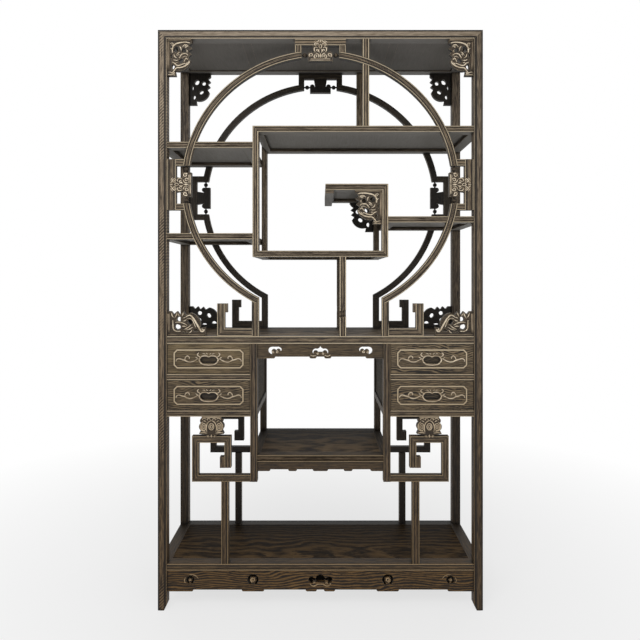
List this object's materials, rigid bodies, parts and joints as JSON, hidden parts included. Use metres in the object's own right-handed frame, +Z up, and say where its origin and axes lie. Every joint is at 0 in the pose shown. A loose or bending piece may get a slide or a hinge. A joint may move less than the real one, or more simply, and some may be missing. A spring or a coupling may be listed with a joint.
{
  "type": "curio cabinet",
  "caption": "Open hardwood curio and book cabinet with a moon gate, stepped shelves, carved brackets, drawers and a low middle shelf.",
  "frame": {"origin": "on the floor, under the middle of the cabinet", "axes": "+Z up, the front faces -Y, +X to the right seen from the front"},
  "size_m": [1.1, 0.35, 1.96],
  "materials": {
    "front_wood": "satin waxed dark hardwood with fine pale streaks",
    "board_wood": "semi-gloss dark hardwood boards with wavy grain",
    "carved_wood": "satin carved dark hardwood, worn lighter on its edges",
    "inner_wood": "matt oiled hardwood inside the case and drawers"
  },
  "bodies": {
    "cabinet": {"back_brackets": "carved_wood", "back_frets": "front_wood", "back_gate_block_frames": "front_wood", "back_gate_carved_blocks": "carved_wood", "back_gate_feet": "front_wood", "back_gate_ring": "front_wood", "back_left_post": "front_wood", "back_right_post": "front_wood", "base_aprons": "board_wood", "base_end_rails": "front_wood", "base_long_rails": "front_wood", "base_panel": "board_wood", "board_battens": "inner_wood", "box_floor": "board_wood", "box_posts": "front_wood", "box_top_shelf": "board_wood", "case_back_panels": "inner_wood", "case_end_rails": "front_wood", "case_long_rails": "front_wood", "case_side_panels": "board_wood", "deck_end_rails": "front_wood", "deck_long_rails": "front_wood", "deck_panel": "board_wood", "divider_posts": "front_wood", "drawer_runners": "inner_wood", "dust_boards": "inner_wood", "fret_supports": "front_wood", "front_brackets": "carved_wood", "front_frets": "front_wood", "front_gate_block_frames": "front_wood", "front_gate_carved_blocks": "carved_wood", "front_gate_feet": "front_wood", "front_gate_ring": "front_wood", "front_left_post": "front_wood", "front_right_post": "front_wood", "inner_posts": "front_wood", "left_lower_shelf": "board_wood", "left_upper_shelf": "board_wood", "lotus_blocks": "carved_wood", "low_shelf_end_rails": "front_wood", "low_shelf_long_rails": "front_wood", "low_shelf_panel": "board_wood", "middle_bay_aprons": "board_wood", "right_shelf": "board_wood", "spiral_shelf": "board_wood", "top_end_rails": "front_wood", "top_long_rails": "front_wood", "top_panel": "board_wood"},
    "upper_left_drawer": {"upper_left_drawer_bottom": "inner_wood", "upper_left_drawer_front": "front_wood", "upper_left_drawer_walls": "inner_wood"},
    "upper_right_drawer": {"upper_right_drawer_bottom": "inner_wood", "upper_right_drawer_front": "front_wood", "upper_right_drawer_walls": "inner_wood"},
    "lower_left_drawer": {"lower_left_drawer_bottom": "inner_wood", "lower_left_drawer_front": "front_wood", "lower_left_drawer_walls": "inner_wood"},
    "lower_right_drawer": {"lower_right_drawer_bottom": "inner_wood", "lower_right_drawer_front": "front_wood", "lower_right_drawer_walls": "inner_wood"}
  },
  "joints": [
    {"name": "upper_left_drawer_slide", "type": "slide", "parent": "cabinet", "child": "upper_left_drawer", "axis": [0, -1, 0], "range_m": [0, 0.22]},
    {"name": "upper_right_drawer_slide", "type": "slide", "parent": "cabinet", "child": "upper_right_drawer", "axis": [0, -1, 0], "range_m": [0, 0.22]},
    {"name": "lower_left_drawer_slide", "type": "slide", "parent": "cabinet", "child": "lower_left_drawer", "axis": [0, -1, 0], "range_m": [0, 0.22]},
    {"name": "lower_right_drawer_slide", "type": "slide", "parent": "cabinet", "child": "lower_right_drawer", "axis": [0, -1, 0], "range_m": [0, 0.22]}
  ]
}
